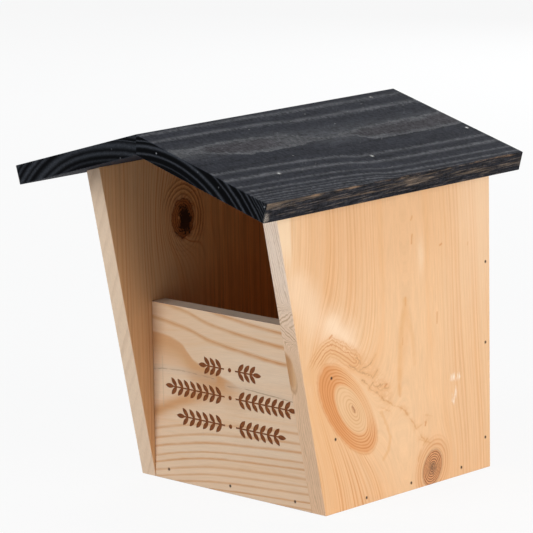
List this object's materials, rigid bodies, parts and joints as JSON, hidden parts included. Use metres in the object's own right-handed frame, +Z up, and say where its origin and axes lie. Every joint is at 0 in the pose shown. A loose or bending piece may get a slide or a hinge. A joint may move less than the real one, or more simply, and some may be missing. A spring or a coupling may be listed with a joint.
{
  "type": "bird nest box",
  "caption": "Open-fronted wooden bird nest box: nailed boards, sides leaning out at the front, a low front panel and a black-stained gable roof; hangs by its back.",
  "frame": {"origin": "bottom of the box, under the middle of the roof's outline", "axes": "+Z up, +Y towards the back that goes against the wall, +X to the right as the open front is seen"},
  "size_m": [0.3174, 0.342, 0.3509],
  "materials": {
    "planed_pine": "bare planed softwood with knots, burned ornament on the front",
    "black_stained_pine": "black wood stain over open grain, worn at the edges",
    "brad_steel": "bright wire"
  },
  "bodies": {
    "root": {"right_side": "planed_pine", "left_side": "planed_pine", "back_panel": "planed_pine", "floor_panel": "planed_pine", "front_panel": "planed_pine", "right_roof_board": "black_stained_pine", "left_roof_board": "black_stained_pine", "brads_right_side_to_front": "brad_steel", "brads_right_side_to_floor": "brad_steel", "brads_right_side_to_back": "brad_steel", "brads_left_side_to_front": "brad_steel", "brads_left_side_to_floor": "brad_steel", "brads_left_side_to_back": "brad_steel", "brads_front_to_floor": "brad_steel", "brads_back_to_floor": "brad_steel", "brads_right_roof_to_side": "brad_steel", "brad_right_roof_to_back": "brad_steel", "brads_left_roof_to_side": "brad_steel", "brad_left_roof_to_back": "brad_steel", "brads_across_ridge": "brad_steel"}
  },
  "joints": []
}
